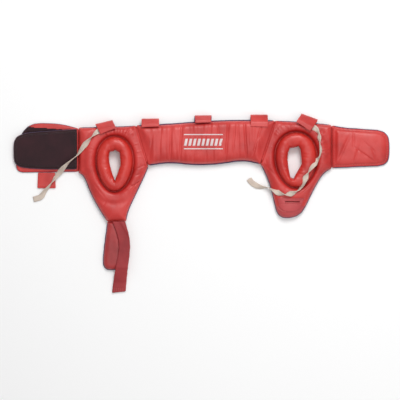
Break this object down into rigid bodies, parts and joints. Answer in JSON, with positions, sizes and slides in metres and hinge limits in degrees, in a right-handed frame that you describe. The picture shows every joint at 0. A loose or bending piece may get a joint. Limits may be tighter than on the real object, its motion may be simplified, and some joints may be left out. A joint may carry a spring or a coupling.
{
  "type": "padded head guard",
  "caption": "Padded leather head guard for boxing, open and flat: forehead band, ear rings, lace, chin strap, hook-and-loop closures.",
  "frame": {"origin": "middle of the open guard's outline without the lace, on the inner face that rests on a table", "axes": "+X along the open band from the left closure to the right closure, +Y to the crown edge, +Z out of the outer face"},
  "size_m": [0.6372, 0.3052, 0.026],
  "materials": {
    "red_leather": "satin",
    "foam": "matte",
    "lining_fabric": "matte",
    "loop_pile": "matte",
    "hook_pile": "matte",
    "lace_cotton": "matte",
    "print_white": "satin",
    "strap_webbing": "matte"
  },
  "bodies": {
    "forehead_centre": {"forehead_centre_cover": "red_leather", "forehead_centre_foam": "foam", "forehead_centre_lining": "lining_fabric", "print_lower_rule": "print_white", "print_bar": "print_white", "print_upper_rule": "print_white", "lace_loop_3": "red_leather", "lace_centre": "lace_cotton"},
    "forehead_left": {"forehead_left_cover": "red_leather", "forehead_left_foam": "foam", "forehead_left_lining": "lining_fabric", "lace_loop_2": "red_leather", "lace_left": "lace_cotton"},
    "forehead_right": {"forehead_right_cover": "red_leather", "forehead_right_foam": "foam", "forehead_right_lining": "lining_fabric", "lace_loop_4": "red_leather", "lace_right": "lace_cotton"},
    "left_ear": {"left_ear_cover": "red_leather", "left_ear_foam": "foam", "left_ear_lining": "lining_fabric", "left_ear_ring_cover": "red_leather", "left_ear_ring_core": "foam", "lace_loop_1": "red_leather", "lace_turn_left": "lace_cotton", "lace_left_ear": "lace_cotton", "lace_tail_left": "lace_cotton"},
    "right_ear": {"right_ear_cover": "red_leather", "right_ear_foam": "foam", "right_ear_lining": "lining_fabric", "right_ear_ring_cover": "red_leather", "right_ear_ring_core": "foam", "lace_loop_5": "red_leather", "lace_turn_right": "lace_cotton", "lace_right_ear": "lace_cotton", "lace_tail_right": "lace_cotton", "chin_strap_keeper": "red_leather"},
    "left_closure": {"left_closure_cover": "red_leather", "left_closure_foam": "foam", "left_closure_loop_panel": "loop_pile"},
    "neck_flap": {"neck_flap": "red_leather", "neck_flap_loop_panel": "loop_pile"},
    "pull_tab": {"pull_tab": "strap_webbing"},
    "right_closure": {"right_closure_cover": "red_leather", "right_closure_foam": "foam", "right_closure_hook_panel": "hook_pile"},
    "chin_pad": {"chin_pad_cover": "red_leather", "chin_pad_foam": "foam", "chin_pad_lining": "lining_fabric"},
    "chin_strap": {"chin_strap": "strap_webbing"}
  },
  "joints": [
    {"name": "forehead_bend_left", "type": "hinge", "parent": "forehead_centre", "child": "forehead_left", "pos_m": [-0.04276, 0.0988, 0], "axis": [0, -1, 0], "range_deg": [0, 45]},
    {"name": "forehead_bend_right", "type": "hinge", "parent": "forehead_centre", "child": "forehead_right", "pos_m": [0.03925, 0.0988, 0], "axis": [0, 1, 0], "range_deg": [0, 45]},
    {"name": "ear_bend_left", "type": "hinge", "parent": "forehead_left", "child": "left_ear", "pos_m": [-0.10046, 0.0988, 0], "axis": [0, -1, 0], "range_deg": [0, 45]},
    {"name": "ear_bend_right", "type": "hinge", "parent": "forehead_right", "child": "right_ear", "pos_m": [0.11214, 0.0988, 0], "axis": [0, 1, 0], "range_deg": [0, 45]},
    {"name": "left_closure_wrap", "type": "hinge", "parent": "left_ear", "child": "left_closure", "pos_m": [-0.20855, 0.0888, 0], "axis": [0, -1, 0], "range_deg": [0, 90]},
    {"name": "right_closure_wrap", "type": "hinge", "parent": "right_ear", "child": "right_closure", "pos_m": [0.22095, 0.0888, 0], "axis": [0, 1, 0], "range_deg": [0, 90]},
    {"name": "neck_flap_swing", "type": "hinge", "parent": "left_closure", "child": "neck_flap", "pos_m": [-0.20855, 0.0888, 0], "axis": [0, -1, 0], "range_deg": [0, 30]},
    {"name": "pull_tab_fold", "type": "hinge", "parent": "neck_flap", "child": "pull_tab", "pos_m": [-0.26315, 0.0523, 0.0003], "axis": [1, 0, 0], "range_deg": [0, 90]},
    {"name": "chin_pad_swing", "type": "hinge", "parent": "left_ear", "child": "chin_pad", "pos_m": [-0.14875, -0.0307, 0], "axis": [1, 0, 0], "range_deg": [0, 90]},
    {"name": "chin_strap_swing", "type": "hinge", "parent": "chin_pad", "child": "chin_strap", "pos_m": [-0.13975, -0.0307, 0.0116], "axis": [-1, 0, 0], "range_deg": [0, 120]}
  ],
  "couplings": [
    {"joint": "forehead_bend_right", "follows": "forehead_bend_left", "ratio": 1},
    {"joint": "ear_bend_left", "follows": "forehead_bend_left", "ratio": 1},
    {"joint": "ear_bend_right", "follows": "forehead_bend_left", "ratio": 1}
  ]
}
